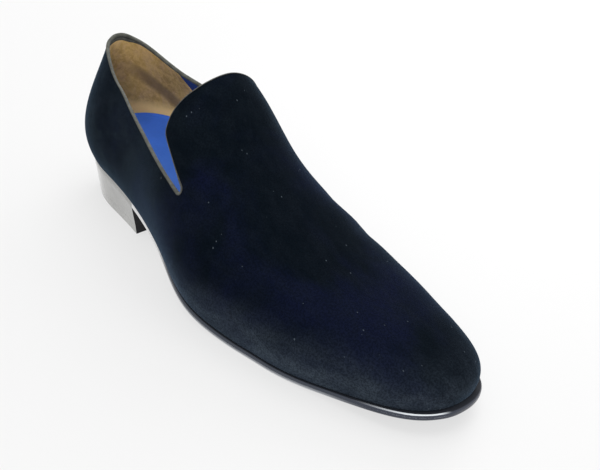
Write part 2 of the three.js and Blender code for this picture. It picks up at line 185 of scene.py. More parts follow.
# The last: a degree-4 Bezier from the feather line (up 0) to the ridge (up 1) in a plane through
# the axis point, square to the centre line along the foot and fanned out round heel and toe
def lastPoint(share, side, up):
    share, up = np.broadcast_arrays(np.asarray(share, float), np.asarray(up, float))
    foot = featherPoint(share, side)
    axisX = np.clip(foot[..., 0], last["heelAxis"] * last["length"], last["toeAxis"] * last["length"])
    axis = stack(axisX, centreLine(axisX))
    out = foot - axis
    radius = np.linalg.norm(out, axis=-1)
    out = out / radius[..., None]
    belly = girth["belly"](share) * last["ballWidth"]
    topWidth = last["topWidthBack"] * np.maximum(0, 1 - share / last["topWidthEnd"]) ** last["topWidthPower"]
    t = 1 - up
    reach = (radius * t ** 4 + 4 * (radius + belly) * t ** 3 * up
             + 6 * (radius * girth["shoulder"](share) + last["bellySpread"] * belly) * t ** 2 * up ** 2
             + 4 * radius * girth["crown"](share) * t * up ** 3 + radius * topWidth * up ** 4)
    x = axis[..., 0] + out[..., 0] * reach
    base = featherHeight(foot[..., 0])
    height = ridgeHeight(x) - base
    z = (base + 4 * girth["bellyUp"](share) * last["instepHeight"] * t ** 3 * up
         + height * (6 * girth["shoulderUp"](share) * t ** 2 * up ** 2 + 4 * t * up ** 3 + up ** 4))
    return stack(x, axis[..., 1] + out[..., 1] * reach, z)


nudge = 1e-4  # step in share or up for a tangent
atEndTolerance = 1e-9  # share or up this close to its end is the end
slopeStep = 0.5  # mm to each side for the slope of the ridge
halvings = 40
leastArea = 1e-9  # keeps a division away from zero


def alongLast(share, side, up):
    a, b = np.maximum(0, share - nudge), np.minimum(1, share + nudge)
    return (lastPoint(b, side, up) - lastPoint(a, side, up)) / (b - a)[..., None]


def overLast(share, side, up):
    a, b = np.maximum(0, up - nudge), np.minimum(1, up + nudge)
    return (lastPoint(share, side, b) - lastPoint(share, side, a)) / (b - a)[..., None]


# Outward normal: cross product of the two tangents, with the limit forms on the ridge and the end lines
def lastNormal(share, side, up):
    share, up = np.broadcast_arrays(np.asarray(share, float), np.asarray(up, float))
    over = overLast(share, side, up)
    normal = unit(np.cross(alongLast(share, side, up), over) * -side)
    foot = lastPoint(share, side, 0)
    axisX = np.where(share < 0.5, last["heelAxis"], last["toeAxis"]) * last["length"]
    away = unit(stack(foot[..., 0] - axisX, foot[..., 1] - centreLine(axisX), 0 * share))
    atEnd = away * over[..., 2:]
    atEnd = unit(atEnd - np.array([0, 0, 1.0]) * np.sum(over * away, -1, keepdims=True))
    x = lastPoint(share, side, 1)[..., 0]
    slope = (ridgeHeight(x + slopeStep) - ridgeHeight(x - slopeStep)) / (2 * slopeStep)
    onRidge = unit(stack(-slope, 0 * slope, 1 + 0 * slope))
    onEndLine = (share < atEndTolerance) | (share > 1 - atEndTolerance)
    normal = np.where(onEndLine[..., None], atEnd, normal)
    return np.where((up > 1 - atEndTolerance)[..., None], onRidge, normal)


# The up at which the last is a height over its feather line, found by halving
def upAtHeight(share, side, height):
    target = featherHeight(share * last["length"]) + height
    low, high = np.zeros_like(target), np.ones_like(target)
    for _ in range(halvings):
        middle = (low + high) / 2
        below = lastPoint(share, side, middle)[..., 2] < target
        low, high = np.where(below, middle, low), np.where(below, high, middle)
    return (low + high) / 2


# The top edge of one side as rows of (share, up): heel, quarter, round slit end, vamp, ridge
def topEdge(side, quarterSteps, tipSteps, vampSteps):
    slitShare = last["slitShare"]

    def quarterSpot(share):
        share = np.asarray(share, float)
        return stack(share, upAtHeight(share, side, collarUp(share / slitShare) * last["backHeight"]))

    tip = quarterSpot(slitShare)

    def vampSpot(t):
        return stack(vampAt(t) * slitShare, mix(tip[1], 1, np.asarray(t, float)))

    scale = np.array([last["length"], np.linalg.norm(overLast(tip[0], side, tip[1]))])
    corner = tip * scale
    toQuarter = unit(quarterSpot((1 - last["tipReach"]) * slitShare) * scale - corner)
    toVamp = unit(vampSpot(last["tipReach"]) * scale - corner)
    half = math.acos(float(np.dot(toQuarter, toVamp))) / 2
    radius = last["slitRadius"]
    reach = radius / math.tan(half)
    middle = unit(toQuarter + toVamp)
    across = unit(toQuarter - toVamp)
    centre = corner + middle * radius / math.sin(half)
    turn = np.linspace(1, -1, tipSteps + 1)[:, None] * (math.pi / 2 - half)
    tipRound = (centre - middle * radius * np.cos(turn) + across * radius * np.sin(turn)) / scale
    quarterEnd = (corner[0] + toQuarter[0] * reach) / last["length"]
    vampStart = toVamp[1] * reach / scale[1] / (1 - tip[1])
    t = np.arange(quarterSteps) / quarterSteps
    quarter = quarterSpot(quarterEnd * t * t * (3 - 2 * t))
    back = vampSpot(mix(vampStart, 1, np.arange(1, vampSteps + 1) / vampSteps))
    back[-1, 1] = 1
    return np.concatenate([quarter, tipRound, back])


# The top edge moved down into the wall: the step in (share, up) that has the wanted length on the surface
def edgeInset(edge, side, distance):
    share, up = edge[:, 0], edge[:, 1]
    point = lastPoint(share, side, up)
    over, along = overLast(share, side, up), alongLast(share, side, up)
    way = np.empty_like(point)
    way[1:-1] = point[2:] - point[:-2]
    way[0], way[-1] = point[1] - point[0], point[-1] - point[-2]
    distance = np.broadcast_to(distance, share.shape)
    down = unit(np.cross(lastNormal(share, side, up), unit(way))) * side * distance[:, None]
    a, b, c = np.sum(along * along, -1), np.sum(along * over, -1), np.sum(over * over, -1)
    p, q = np.sum(down * along, -1), np.sum(down * over, -1)
    area = np.maximum(a * c - b * b, leastArea)
    moved = stack(share + (c * p - b * q) / area, up + (a * q - b * p) / area)
    moved[0] = 0, up[0] - distance[0] / math.sqrt(c[0])
    moved[-1] = share[-1] + distance[-1] / math.sqrt(a[-1]), 1
    return moved


# Feather line moved outwards in plan along its own normal
def outline(share, side, outset):
    share = np.asarray(share, float)
    foot = featherPoint(share, side)
    before, after = np.maximum(0, share - nudge), np.minimum(1, share + nudge)
    along = unit(featherPoint(after, side) - featherPoint(before, side))
    out = side * stack(-along[..., 1], along[..., 0])
    out = np.where((share < atEndTolerance)[..., None], np.array([-1.0, 0]), out)
    out = np.where((share > 1 - atEndTolerance)[..., None], np.array([1.0, 0]), out)
    return foot + out * np.broadcast_to(outset, share.shape)[..., None]


mergeDistance = 4e-6  # points closer than this are one, in metres
shortestEdge = 1e-7


# One closed piece from grids of points in millimetres: quads between neighbours, doubles merged.
# across, where given, is kept as an attribute for the material
def pieceFromGrids(name, grids, replaced=(), sharpAngle=35, across=None):
    points, faces, start = [], [], 0
    for grid in grids:
        rows, columns = grid.shape[:2]
        index = start + np.arange(rows * columns).reshape(rows, columns)
        quads = np.stack([index[:-1, :-1], index[1:, :-1], index[1:, 1:], index[:-1, 1:]], -1)
        faces.append(quads.reshape(-1, 4))
        points.append(grid.reshape(-1, 3))
        start += rows * columns
    place = (np.concatenate(points) - np.array([last["originX"], 0, 0])) / 1000
    mesh = bpy.data.meshes.new(name)
    mesh.from_pydata(place.tolist(), [], np.concatenate(faces).tolist())
    if across is not None:
        values = np.concatenate([part.ravel() for part in across]).astype(np.float32)
        mesh.attributes.new("across", "FLOAT", "POINT").data.foreach_set("value", values)
    work = bmesh.new()
    work.from_mesh(mesh)
    bmesh.ops.remove_doubles(work, verts=work.verts, dist=mergeDistance)
    bmesh.ops.dissolve_degenerate(work, edges=work.edges, dist=shortestEdge)
    bmesh.ops.recalc_face_normals(work, faces=work.faces)
    openEdges = sum(1 for edge in work.edges if not edge.is_manifold)
    work.to_mesh(mesh)
    work.free()
    mesh.polygons.foreach_set("use_smooth", np.ones(len(mesh.polygons), bool))
    mesh.set_sharp_from_angle(angle=math.radians(sharpAngle))
    mesh.update()
    piece = bpy.data.objects.new(name, mesh)
    bpy.context.scene.collection.objects.link(piece)
    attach(piece, "root")
    if replaced:
        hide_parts(*replaced)
    print("piece", name, len(mesh.polygons), "faces, open edges", openEdges)
    return piece


# Shader expressions: a wrapped socket whose operators add Math nodes
class ShaderValue:
    def __init__(self, tree, socket):
        self.tree = tree
        self.socket = socket

    # A node with its settings, and values or links for its inputs: i0, i1 by place, others by name
    def node(self, kind, settings=None, output=0, **inputs):
        made = self.tree.nodes.new(kind)
        for key, value in (settings or {}).items():
            setattr(made, key, value)
        for key, value in inputs.items():
            byPlace = key[0] == "i" and key[1:].isdigit()
            target = made.inputs[int(key[1:]) if byPlace else key.replace("_", " ")]
            if isinstance(value, ShaderValue):
                self.tree.links.new(value.socket, target)
            else:
                target.default_value = value
        return ShaderValue(self.tree, made.outputs[output])

    def maths(self, operation, a, b):
        return self.node("ShaderNodeMath", {"operation": operation}, i0=a, i1=b)

    def __add__(self, other):
        return self.maths("ADD", self, other)

    def __radd__(self, other):
        return self.maths("ADD", other, self)

    def __sub__(self, other):
        return self.maths("SUBTRACT", self, other)

    def __rsub__(self, other):
        return self.maths("SUBTRACT", other, self)

    def __mul__(self, other):
        return self.maths("MULTIPLY", self, other)

    def __rmul__(self, other):
        return self.maths("MULTIPLY", other, self)

    def __truediv__(self, other):
        return self.maths("DIVIDE", self, other)

    # 0 at low, 1 at high and smooth between them; low may be the larger
    def between(self, low, high):
        return self.node("ShaderNodeMapRange", {"interpolation_type": "SMOOTHSTEP"}, i0=self, i1=low, i2=high)

    def colour(self, first, second):
        return self.node("ShaderNodeMix", {"data_type": "RGBA"}, output=2, i0=self, i6=first, i7=second)


# A material with its Principled shader, the piece's object coordinates and shorthands for noise
class Finish:
    def __init__(self, name, **fixed):
        self.material = bpy.data.materials.new(name)
        self.material.use_nodes = True
        self.tree = self.material.node_tree
        self.shader = self.tree.nodes["Principled BSDF"]
        for key, value in fixed.items():
            self.shader.inputs[key.replace("_", " ")].default_value = value
        self.base = ShaderValue(self.tree, self.tree.nodes.new("ShaderNodeTexCoord").outputs["Object"])

    # x, y and z of the object coordinates, or of another vector
    def parts(self, vector=None):
        split = self.base.node("ShaderNodeSeparateXYZ", Vector=vector or self.base)
        return [ShaderValue(self.tree, split.socket.node.outputs[k]) for k in range(3)]

    def facing(self):
        return self.parts(self.base.node("ShaderNodeNewGeometry", output=1))

    def stretched(self, x, y, z):
        return self.base.node("ShaderNodeMapping", Vector=self.base, Scale=(x, y, z))

    def noise(self, scale, detail=2.0, roughness=0.5, distortion=0.0, where=None):
        return self.base.node("ShaderNodeTexNoise", Vector=where or self.base, Scale=scale, Detail=detail,
                              Roughness=roughness, Distortion=distortion)

    def bump(self, height, distance, strength):
        return self.base.node("ShaderNodeBump", Height=height, Distance=distance, Strength=strength)

    def set(self, **links):
        for key, value in links.items():
            self.tree.links.new(value.socket, self.shader.inputs[key.replace("_", " ")])
        return self.material


def dress(piece, material):
    piece.data.materials.clear()
    piece.data.materials.append(material)


print("stage: upper")

upper = {
    "quarterColumns": 60,
    "tipSteps": 12,
    "vampColumns": 16,
    "vampRows": 44,
    "frontColumns": 84,
    "lowRows": 28,
    "toeUp": 0.5,
    "velvetDepth": 0.85,
    "liningGap": 0.03,
    "underTape": 0.4,
    "sheenTint": (0.36, 0.62, 0.95, 1),
    "velvetDark": (0.001, 0.0027, 0.005, 1),
    "velvetBlue": (0.0028, 0.0044, 0.0155, 1),
    "nap": (0.0062, 0.009, 0.0135, 1),
    "cloud": (0.0085, 0.0135, 0.0175, 1),
    # painted sheen for the paler band low on the forefoot
    "paintedSheen": (0.038, 0.05, 0.066, 1),
    # painted shade between the tufts of the pile
    "pitShade": (0.0006, 0.0013, 0.0028, 1),
    "lint": (0.06, 0.075, 0.09, 1),
    "liningDark": (0.01, 0.032, 0.145, 1),
    "liningLight": (0.016, 0.05, 0.21, 1),
}


# Grids of the wall of one side at a depth: quarter behind the slit, vamp over it, front up to the toe
def wallGrids(side, depth):
    edge = topEdge(side, upper["quarterColumns"], upper["tipSteps"], upper["vampRows"])
    edge = edgeInset(edge, side, upper["underTape"])
    foremost = upper["quarterColumns"] + upper["tipSteps"] // 2
    tip = edge[foremost]
    low = np.linspace(0, 1, upper["lowRows"] + 1)
    high = np.linspace(0, 1, len(edge) - foremost)

    def wall(share, up):
        share, up = np.broadcast_arrays(share, up)
        inner = lastPoint(share, side, up) - depth * lastNormal(share, side, up)
        foot = outline(share, side, -depth)
        base = stack(foot[..., 0], foot[..., 1], featherHeight(share * last["length"]))
        flexed = ripple(share, side, up)[..., None] * lastNormal(share, side, up)
        return np.where((up < atEndTolerance)[..., None], base, inner) + flexed

    i = np.arange(foremost + 1)
    footShare = tip[0] * (1 - np.cos(math.pi / 2 * i / foremost))
    quarter = wall(mix(footShare[:, None], edge[:foremost + 1, :1], low), edge[:foremost + 1, 1:] * low)
    startShare, startUp = mix(tip[0], last["slitShare"], high), mix(tip[1], 1, high)
    t = np.linspace(0, 1, upper["vampColumns"] + 1)[:, None]
    overSlit = wall(mix(edge[foremost:, 0], startShare, t), mix(edge[foremost:, 1], startUp, t))
    t = np.sin(math.pi / 2 * np.linspace(0, 1, upper["frontColumns"] + 1))[:, None]
    level = mix(tip[1], upper["toeUp"], t)
    lowPart = wall(mix(tip[0], 1, t) + 0 * low[:-1], level * low[:-1])
    highPart = wall(mix(startShare, 1, t), mix(level, 1, high))
    return {"quarter": quarter, "overSlit": overSlit, "front": np.concatenate([lowPart, highPart], 1)}


# Soft flex troughs across the vamp: each a Gaussian in share, faded out towards feather line and ridge
flexTroughs = [
    {"side": 1, "share": 0.6, "width": 0.016, "up": 0.5, "spread": 0.2, "depth": -0.5},
    {"side": 1, "share": 0.64, "width": 0.014, "up": 0.45, "spread": 0.2, "depth": 0.45},
    {"side": 1, "share": 0.68, "width": 0.016, "up": 0.48, "spread": 0.2, "depth": -0.45},
    {"side": -1, "share": 0.61, "width": 0.03, "up": 0.55, "spread": 0.2, "depth": -0.25},
]


def ripple(share, side, up):
    total = 0 * share
    for trough in flexTroughs:
        if trough["side"] == side:
            bell = np.exp(-((share - trough["share"]) / trough["width"]) ** 2)
            total = total + trough["depth"] * bell * np.exp(-((up - trough["up"]) / trough["spread"]) ** 2)
    return total


# A closed layer of the wall between two depths
def wallLayer(name, outerDepth, innerDepth, replaced=()):
    grids = []
    for side in (1, -1):
        outer, inner = (wallGrids(side, depth) for depth in (outerDepth, innerDepth))
        for part in ("quarter", "overSlit", "front"):
            grids += [outer[part], inner[part]]
        bottoms, tops = [], []
        for layer in (outer, inner):
            bottoms.append(np.concatenate([layer["quarter"][:, 0], layer["front"][1:, 0]]))
            tops.append(np.concatenate([layer["quarter"][:, -1], layer["overSlit"][0, 1:]]))
        grids += [np.stack(bottoms), np.stack(tops)]
    return pieceFromGrids(name, grids, replaced)


velvetPiece = wallLayer("velvet_upper", 0, upper["velvetDepth"], ["upper"])
liningDepth = upper["velvetDepth"] + upper["liningGap"]
liningPiece = wallLayer("leather_lining", liningDepth, last["wall"])

print("stage: heel lining")

heelLining = {
    "gap": 0.02,
    "thickness": 0.36,
    "frontAtFoot": 0.29,
    "frontAtEdge": 0.138,
    "columns": 60,
    "rows": 40,
    "edgeDown": 1.7,
    "footUp": 0.03,
    "edgeSteps": (200, 12, 44),
    "crowding": 1.6,
    "sheenTint": (0.9, 0.7, 0.4, 1),
    "tan": (0.46, 0.3, 0.1, 1),
    "stain": (0.24, 0.15, 0.055, 1),
    "flush": (0.56, 0.37, 0.22, 1),
    "nap": (0.72, 0.49, 0.2, 1),
    # painted light: a bright band low on the suede, above the sock's rim
    "foot": (1.0, 0.7, 0.3, 1),
    "streak": (0.15, 0.1, 0.062, 1),
    "streakAlong": 0.0455,
    "streakHalfWidth": 0.0068,
    "streakDepth": 0.75,
}


# Suede patch inside the heel: the wall's inner face between a slanted front line on each side, with
# its columns crowded towards the back
def makeHeelLining():
    quarterSteps = heelLining["edgeSteps"][0]
    layers = []
    for depth in (last["wall"] + heelLining["gap"], last["wall"] + heelLining["thickness"]):
        halves = []
        for side in (1, -1):
            edge = edgeInset(topEdge(side, *heelLining["edgeSteps"]), side, heelLining["edgeDown"])
            t = np.linspace(0, 1, heelLining["columns"] + 1)[:, None]
            k = np.linspace(0, 1, heelLining["rows"] + 1)
            front = mix(heelLining["frontAtFoot"], heelLining["frontAtEdge"], k)
            share = front * t ** heelLining["crowding"]
            top = np.interp(share, edge[:quarterSteps, 0], edge[:quarterSteps, 1])
            up = mix(heelLining["footUp"], top, k)
            point = lastPoint(share, side, up) - depth * lastNormal(share, side, up)
            halves.append(point)
        layers.append(np.concatenate([halves[0][::-1], halves[1][1:]]))
    outer, inner = layers
    rim = np.stack([np.concatenate([g[:, 0], g[-1, 1:], g[-2::-1, -1], g[0, -2::-1]]) for g in layers])
    return pieceFromGrids("suede_heel_lining", [outer, inner, rim])


suedePiece = makeHeelLining()

print("stage: tape")

tape = {
    "outsideLeg": 0.85,
    "insideLeg": 1.65,
    "thickness": 0.27,
    "clear": 0.03,
    "groove": 0.95,
    "grooveBack": 0.15,
    "grooveFront": 0.2,
    "grooveFloor": 0.06,
    "foldFlat": 0.62,
    "outsideShare": 0.8,
    "insideShares": (0.8, 0.85, 0.7),
    "tipWidening": 0.9,
    "tipSpan": 9.0,
    "ribPitch": 0.8,
    "ribDepth": 0.07,
    "samplesPerRib": 4,
    "foldSteps": 7,
    "edgeSteps": (400, 30, 260),
    "dark": (0.04, 0.041, 0.034, 1),
    "light": (0.085, 0.088, 0.075, 1),
    "grooveShade": (0.012, 0.012, 0.012, 1),
    "edgeTone": (0.014, 0.014, 0.015, 1),
}


# Ribbed tape folded over the top edge: a U-shaped section (down, depth) carried along the edge, its
# outer face waved by a cosine of the way along. The way across that face goes to the finish
def makeTape():
    half = last["wall"] / 2
    clear, thick, flat = tape["clear"], tape["thickness"], tape["foldFlat"]
    turn = np.linspace(0, math.pi, tape["foldSteps"] + 2)[1:-1]
    outerR, innerR = half + clear + thick, half + clear
    inside, groove, legEnd = 2 * half + clear, tape["groove"], tape["insideLeg"]
    grooveFront = groove + tape["grooveFront"]
    atGroove, atMiddle, atEnd = (inside + thick * share for share in tape["insideShares"])
    outerPath = [(tape["outsideLeg"], -clear - thick * tape["outsideShare"])]
    outerPath += [(outerR * flat * (1 - math.sin(a)), half - outerR * math.cos(a)) for a in turn]
    outerPath += [(groove - tape["grooveBack"], inside + thick), (groove, inside + tape["grooveFloor"])]
    outerPath += [(grooveFront, atGroove), (mix(grooveFront, legEnd, 0.5), atMiddle), (legEnd, atEnd)]
    innerPath = [(legEnd, inside), (mix(groove, legEnd, 0.5), inside), (groove, inside)]
    innerPath += [(thick + outerR * flat * (1 - math.sin(a)), half + innerR * math.cos(a)) for a in turn]
    innerPath += [(tape["outsideLeg"], -clear)]
    section = np.array(outerPath + innerPath + outerPath[:1])
    waved = np.array([1.0] * len(outerPath) + [0.0] * len(innerPath) + [1.0])
    steps = np.linalg.norm(np.diff(section[:len(outerPath)], axis=0), axis=1)
    reach = np.concatenate([[0], np.cumsum(steps), [-1.0] * len(innerPath), [0]])
    grids, across = [], []
    for side in (1, -1):
        edge = topEdge(side, *tape["edgeSteps"])
        point = lastPoint(edge[:, 0], side, edge[:, 1])
        way = np.concatenate([[0], np.cumsum(np.linalg.norm(np.diff(point, axis=0), axis=1))])
        ribs = round(way[-1] / tape["ribPitch"])
        even = np.linspace(0, way[-1], ribs * tape["samplesPerRib"] + 1)
        edge = stack(np.interp(even, way, edge[:, 0]), np.interp(even, way, edge[:, 1]))
        phase = 2 * math.pi * even / (way[-1] / ribs)
        wave = tape["ribDepth"] * np.cos(phase)
        rings = []
        tipWay = even[np.argmax(edge[:, 0])]
        wider = 1 + tape["tipWidening"] * np.exp(-((even - tipWay) / tape["tipSpan"]) ** 2)
        for (down, depth), shown in zip(section, waved):
            atLegEnd = down == tape["outsideLeg"]
            spot = edgeInset(edge, side, down * (wider if atLegEnd else np.ones(len(edge))))
            sign = 1 if depth < half else -1
            normal = lastNormal(spot[:, 0], side, spot[:, 1])
            lift = (-depth + sign * shown * wave)[:, None]
            rings.append(lastPoint(spot[:, 0], side, spot[:, 1]) + normal * lift)
        grids.append(np.stack(rings))
        across.append(np.repeat(reach[:, None], len(edge), 1))
    return pieceFromGrids("ribbed_tape", grids, ["topline_binding"], 60, across)


tapePiece = makeTape()

print("stage: sole")

sole = {
    "seam": 0.3,
    "midsoleInset": 0.02,
    "midsoleThickness": 1.3,
    "outsoleThickness": 2.0,
    "hairline": 0.04,
    "heelRound": 0.12,
    "frontRound": 1.25,
    "roundFrom": 0.22,
    "roundTo": 0.45,
    "square": 0.04,
    "steps": 150,
    "across": 12,
    "frontPower": 6,
    "midsoleTone": (0.014, 0.02, 0.034, 1),
    # the outsole's grey: partly its own tone, partly painted reflection
    "outsoleToneAndReflection": (0.15, 0.16, 0.18, 1),
    "toeTone": (0.01, 0.015, 0.03, 1),
    # painted reflections where the edge faces down and at the waist; painted shade on the ledge
    "floorReflection": (0.36, 0.37, 0.39, 1),
    "waistReflection": (0.62, 0.62, 0.62, 1),
    "ledgeShade": (0.004, 0.006, 0.011, 1),
    "toeLight": (0.6, 0.63, 0.66, 1),
}


def midsoleTop(x):
    return featherHeight(x) - sole["seam"]


def midsoleBottom(x):
    return midsoleTop(x) - sole["midsoleThickness"]


def outsoleTop(x):
    return midsoleBottom(x) - sole["seam"]


def outsoleBottom(x):
    return outsoleTop(x) - sole["outsoleThickness"]


# 1 at the front of a short plate, and next to nothing away from it
def nearFront(share, to):
    return (share / to) ** sole["frontPower"]


# A ring that follows the feather line at an outset in plan, its height a function of x; lean moves
# it forward at the front
def planRing(outset, height, lean=0.0):
    def ring(share, side, to):
        spot = outline(share, side, outset(share))
        x = spot[..., 0] + lean * nearFront(share, to)
        return stack(x, spot[..., 1], height(x))
    return ring


# A plate along the feather line: rings from its top face down the side to its bottom face; each
# face spans from the inner side's ring to the outer side's, and dish lowers the top face
def plateGrids(rings, steps, to=1.0, across=1, hollow=0.0, dish=None):
    t = np.arange(steps + 1) / steps
    share = to * ((1 - np.cos(math.pi * t)) / 2 if to == 1 else 1 - np.cos(math.pi / 2 * t))
    share[-1] = to
    j = (1 - np.cos(math.pi * np.arange(across + 1) / across)) / 2
    bow = hollow * nearFront(share, to)[:, None] * 4 * j * (1 - j)
    layers = []
    for ring in rings:
        layer = mix(ring(share, 1, to)[:, None], ring(share, -1, to)[:, None], j[:, None])
        layer[..., 0] -= bow
        layers.append(layer)
    layers = np.stack(layers)
    if dish:
        layers[0, ..., 2] -= dish(layers[0], share[:, None], j)
    grids = [layers[0], layers[-1], layers[:, :, 0], layers[:, :, -1]]
    if to < 1:
        grids.append(layers[:, -1, :])
    return grids


# Quarter-round from (0, 0) on the flat to (radius, radius) on the side, as (inset, drop) pairs
def roundCorner(radius, steps=4):
    a = np.linspace(0, math.pi / 2, steps + 1)
    return [(radius * (1 - math.sin(v)), radius * (1 - math.cos(v))) for v in a]


# Sides with rounded corners, given as functions of x
def edgeRings(outset, top, bottom, topRadius, bottomRadius):
    rings = []
    for i, d in roundCorner(1):
        rings.append(planRing(lambda s, i=i: outset(s) - i * topRadius(s * last["length"]),
                              lambda x, d=d: top(x) - d * topRadius(x)))
    for i, d in roundCorner(1)[::-1]:
        rings.append(planRing(lambda s, i=i: outset(s) - i * bottomRadius(s * last["length"]),
                              lambda x, d=d: bottom(x) + d * bottomRadius(x)))
    return rings


# Rounding of the sole edge: close to square at the heel, a full round in front of the waist
def edgeRound(x):
    t = np.clip((x / last["length"] - sole["roundFrom"]) / (sole["roundTo"] - sole["roundFrom"]), 0, 1)
    return mix(sole["heelRound"], sole["frontRound"], t * t * (3 - 2 * t))


def edgeSquare(x):
    return sole["square"] + 0 * x


sock = {
    "fit": 0.4,
    "thickness": 3.0,
    "heelPad": 9.0,
    "cup": 5.2,
    "cupReach": 6.0,
    "forwardCup": 1.2,
    "backDrop": 6.0,
    "backReach": 0.04,
    "edge": 0.6,
    "lineInset": 2.0,
    "lineWidth": 0.3,
    "lineDepth": 0.3,
    "leastGap": 1e-6,
    "across": 64,
    "back": (0.058, 0.21, 0.95, 1),
    "front": (0.028, 0.115, 0.46, 1),
    "worn": (0.02, 0.075, 0.33, 1),
}


# Sock: its rim follows the inside of the wall, and the top face falls from it by 1 - exp(-distance)
# taken across and from the back, with one pressed line along the rim
def makeSock():
    inset = last["wall"] + sock["fit"]

    def cup(share):
        lowAtBack = sock["backDrop"] * np.exp(-share / sock["backReach"])
        return sock["forwardCup"] + feather["pad"](share) * sock["cup"] - lowAtBack

    def rim(share):
        return sock["thickness"] + feather["pad"](share) * sock["heelPad"] + cup(share)

    def wallRing(drop, depth):
        def ring(share, side, to):
            up = upAtHeight(share, side, rim(share) - drop)
            return lastPoint(share, side, up) - depth * lastNormal(share, side, up)
        return ring

    def dish(place, share, j):
        width = np.linalg.norm(place[:, :1] - place[:, -1:], axis=-1)
        fromSide = np.minimum(j, 1 - j) * width
        fromBack = place[..., 0] - place[:1, :1, 0]
        fromToe = place[-1:, :1, 0] - place[..., 0]
        deep = cup(share)
        for distance in (fromSide, fromBack, fromToe):
            deep = deep * (1 - np.exp(-np.maximum(distance, 0) / sock["cupReach"]))
        sideGap, backGap = fromSide + sock["leastGap"], np.maximum(fromBack, 0) + sock["leastGap"]
        near = 1 / (1 / sideGap + 1 / backGap)
        return deep + sock["lineDepth"] * np.exp(-((near - sock["lineInset"]) / sock["lineWidth"]) ** 2)

    rings = [wallRing(drop, inset + inward) for inward, drop in roundCorner(sock["edge"])]
    rings += [planRing(lambda s: -inset + 0 * s, featherHeight)]
    grids = plateGrids(rings, steps=sole["steps"] * 2, across=sock["across"], dish=dish)
    return pieceFromGrids("insole_sock", grids, ["insole"])


def makeMidsole():
    def outset(s):
        return margin(s) - sole["midsoleInset"]

    def bottom(x):
        return outsoleTop(x) + sole["hairline"]

    rings = edgeRings(outset, midsoleTop, bottom, edgeRound, edgeSquare)
    grids = plateGrids(rings, steps=sole["steps"])
    return pieceFromGrids("midsole_edge", grids, ["midsole"])


def makeOutsole():
    rings = edgeRings(margin, outsoleTop, outsoleBottom, edgeSquare, edgeRound)
    grids = plateGrids(rings, steps=sole["steps"], across=sole["across"])
    return pieceFromGrids("sole_leather", grids, ["outsole"])


heel = {
    "length": 76.5,
    "inset": 0.03,
    "taper": 2.4,
    "backInset": 1.6,
    "hollow": 1.5,
    "rake": 1.5,
    "liftThickness": 5,
    "corner": 0.06,
    "rows": 14,
    "steps": 60,
    "across": 12,
    # grey of the heel's and lift's sides: painted reflection; the front's tone: painted shade
    "reflectionGrey": (0.2, 0.2, 0.19, 1),
    "liftReflectionGrey": (0.22, 0.22, 0.21, 1),
    "breastShade": (0.004, 0.004, 0.006, 1),
    "wornShare": 1.5,
}


# Heel outline between 0 at the floor and 1 at the seat
def heelOutset(level, inward):
    def outset(share):
        atBack = np.maximum(0, 1 - share * last["length"] / last["heelRound"])
        drawnIn = (1 - level) * (heel["taper"] + heel["backInset"] * atBack)
        return margin(share) - heel["inset"] - inward - drawnIn
    return outset


# Heel block or lift between two heights; seated, its top follows the underside of the outsole
def makeHeel(name, low, high, seated, replaced):
    to = (heel["length"] - heel["rake"]) / last["length"]
    corner = heel["corner"]
    rings = []
    rows = [(corner, 0.0)] + [(0.0, t) for t in np.linspace(0, 1, heel["rows"])] + [(corner, 1.0)]
    for inward, t in rows:
        def height(x, t=t, inward=inward):
            top = outsoleBottom(x) - sole["hairline"] if seated else high + 0 * x
            drop = corner if inward == 0 else 0
            return mix(top - drop, low + drop, t)
        level = mix(1.0 if seated else high / last["heelRise"], low / last["heelRise"], t)
        rings.append(planRing(heelOutset(level, inward), height, heel["rake"] * (1 - level)))
    grids = plateGrids(rings, heel["steps"], to, heel["across"], heel["hollow"])
    return pieceFromGrids(name, grids, replaced)


sockPiece = makeSock()
midsolePiece = makeMidsole()
outsolePiece = makeOutsole()
liftTop = heel["liftThickness"] + sole["hairline"]
heelPiece = makeHeel("heel_block", liftTop, 0, True, ["heel_stack"])
liftPiece = makeHeel("heel_top_lift", 0, heel["liftThickness"], False, ["top_lift"])

print("stage: finishes")


# Blue-black pile: broad patches, streaky nap, clouds on the quarters, a paler band of painted sheen low on
# the forefoot, streaked by the nap, painted shade in the pits between the tufts and a few specks of lint
def velvetFinish():
    f = Finish("velvet", Roughness=0.95, Sheen_Weight=0.11, Sheen_Roughness=0.3, Specular_IOR_Level=0.03,
               Sheen_Tint=upper["sheenTint"])
    x, _, z = f.parts()
    patches = f.noise(16, 3, 0.55, 0.6).between(0.42, 0.66)
    nap = f.noise(1.0, 4, 0.6, 0.3, f.stretched(60, 140, 140)).between(0.3, 0.75)
    pile = f.noise(2600, 2, 0.6)
    tufts = f.noise(1100, 3, 0.7)
    clouds = f.noise(38, 3, 0.6, 0.8).between(0.46, 0.66) * x.between(0.13, 0.02)
    # painted sheen: a paler band low on the forefoot, streaked by the nap
    paintedSheen = z.between(0.034, 0.008) * x.between(0.03, 0.1) * (nap * 0.5 + 0.5)
    lint = f.base.node("ShaderNodeTexVoronoi", Vector=f.stretched(170, 260, 100), Scale=1.0)
    chosen = f.noise(60, 1).between(0.48, 0.52)
    colour = patches.colour(upper["velvetDark"], upper["velvetBlue"])
    colour = (nap * (x.between(0.1, 0.0) * 0.4 + 0.35)).colour(colour, upper["nap"])
    colour = (clouds * 0.6).colour(colour, upper["cloud"])
    colour = paintedSheen.colour(colour, upper["paintedSheen"])
    # painted shade in the pits between the tufts
    colour = (tufts.between(0.6, 0.4) * 0.5).colour(colour, upper["pitShade"])
    colour = (lint.between(0.085, 0.05) * chosen * 0.7).colour(colour, upper["lint"])
    height = pile * 0.5 + tufts * 0.5
    return f.set(Base_Color=colour, Normal=f.bump(height, 0.0005, 0.6))
